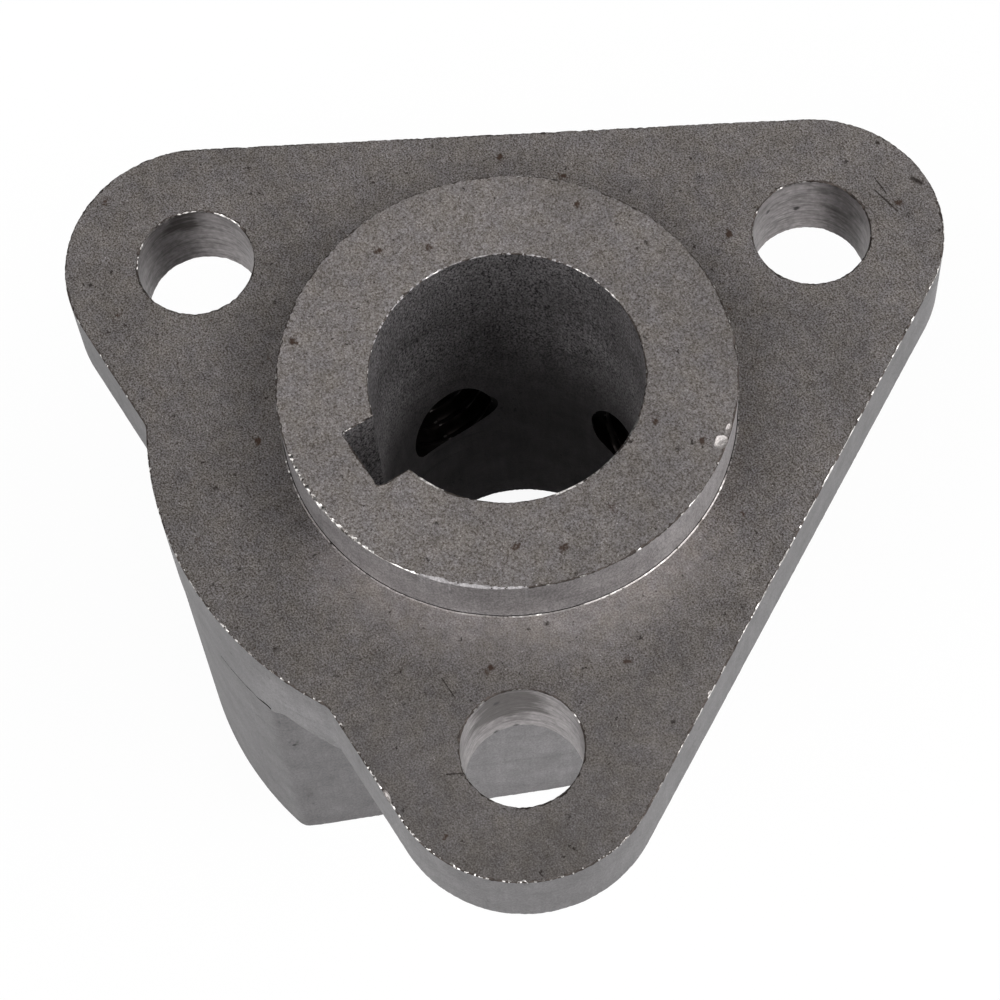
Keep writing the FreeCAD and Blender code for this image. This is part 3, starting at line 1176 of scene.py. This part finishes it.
def floorMaterial():
    material, tree = startMaterial("whiteBoard")
    lit = addNode(tree, "BsdfDiffuse", {"Color": linear(stage["floorColour"])})
    glow = addNode(tree, "Emission", {"Color": (1, 1, 1, 1), "Strength": stage["background"]})
    path = addNode(tree, "LightPath").outputs
    place = addNode(tree, "TexCoord").outputs["Object"]
    distance = addNode(tree, "VectorMath", [place], operation="LENGTH")
    openFloor = addNode(tree, "MapRange", [
        distance, stage["shadeStart"], stage["shadeEnd"],
    ], **smooth)
    bounced = addNode(tree, "Math", [
        path["Is Glossy Ray"], path["Is Transmission Ray"],
    ], operation="MAXIMUM")
    beyond = addNode(tree, "Math", [bounced, openFloor], operation="MULTIPLY")
    seen = addNode(tree, "Math", [path["Is Camera Ray"], beyond], operation="MAXIMUM")
    share = addNode(tree, "Math", [seen, stage["backgroundShare"]], operation="MULTIPLY")
    both = addNode(tree, "MixShader", [share, lit, glow])
    addNode(tree, "OutputMaterial", {"Surface": both})
    return material


def makeFloor():
    bm = bmesh.new()
    bmesh.ops.create_grid(bm, x_segments=1, y_segments=1, size=stage["floorSize"] / 2.0)
    bmesh.ops.translate(bm, verts=bm.verts, vec=(0, 0, -0.0001))
    floor = makeObject(bm, "floor")
    floor.data.materials.append(floorMaterial())


# The studio: two softboxes, one at each side of the camera, a low white wall to the right and
# a weaker box above the camera. All stand far off, so they are written in the world.
softboxes = {
    # direction and elevation in degrees, cosine of the angle at which the box ends, radiance
    "left": {"azimuth": -85.0, "elevation": 35.0, "end": 0.7, "radiance": 2.83},
    "right": {"azimuth": 35.0, "elevation": 35.0, "end": 0.7, "radiance": 1.91},
    "rightWall": {"azimuth": 60.0, "elevation": 12.0, "end": 0.6, "radiance": 2.09},
    "overCamera": {"azimuth": -30.0, "elevation": 50.0, "end": 0.6, "radiance": 1.0},
}


def towards(azimuth, elevation):
    # a vector of length 1
    height = math.sin(math.radians(elevation))
    return inPlan(math.cos(math.radians(elevation)), azimuth, height)


def makeWorld():
    world = bpy.data.worlds.new("studio")
    bpy.context.scene.world = world
    world.use_nodes = True
    tree = world.node_tree
    tree.nodes.clear()
    direction = addNode(tree, "TexCoord").outputs["Generated"]
    light = 0.0
    for box in softboxes.values():
        middle = towards(box["azimuth"], box["elevation"])
        facing = addNode(tree, "VectorMath", [direction, middle], operation="DOT_PRODUCT")
        level = addNode(tree, "MapRange", [facing, box["end"], 1.0, 0.0, box["radiance"]], **smooth)
        light = addNode(tree, "Math", [light, level], operation="ADD")
    sky = addNode(tree, "Background", {"Color": (1, 1, 1, 1), "Strength": light})
    addNode(tree, "OutputWorld", {"Surface": sky})


lamp = {"energy": 0.44, "size": 0.25, "distance": 0.6, "azimuth": 150.0, "elevation": 35.0}


def makeLamp():
    # a small box behind the hub, which outlines its far edges
    light = bpy.data.lights.new("back", "AREA")
    light.energy = lamp["energy"]
    light.size = lamp["size"]
    thing = bpy.data.objects.new("back", light)
    thing.location = lamp["distance"] * towards(lamp["azimuth"], lamp["elevation"])
    thing.rotation_euler = (-thing.location).to_track_quat("-Z", "Y").to_euler()
    bpy.context.scene.collection.objects.link(thing)


camera = {
    "eye": (91.287, -47.667, 238.387),      # mm
    "target": (5.794, -4.349, 34.1),        # a point of the flange's top face
    "roll": -5.541,                         # degrees, about its own axis
    "lens": 118.149,                        # mm, on a frame of this width
    "frameWidth": 36.0,
}


def makeCamera():
    data = bpy.data.cameras.new("camera")
    data.lens = camera["lens"]
    data.sensor_width = camera["frameWidth"]
    data.clip_start = 0.01
    data.clip_end = 10.0
    thing = bpy.data.objects.new("camera", data)
    thing.location = Vector(camera["eye"]) * mm
    sight = Vector(camera["target"]) * mm - Vector(camera["eye"]) * mm
    level = sight.to_track_quat("-Z", "Y").to_matrix()
    roll = Matrix.Rotation(math.radians(camera["roll"]), 3, "Z")
    thing.rotation_euler = (level @ roll).to_euler()
    bpy.context.scene.collection.objects.link(thing)
    bpy.context.scene.camera = thing


makeFloor()
makeWorld()
makeLamp()
makeCamera()
bpy.context.scene.view_settings.view_transform = "Standard"
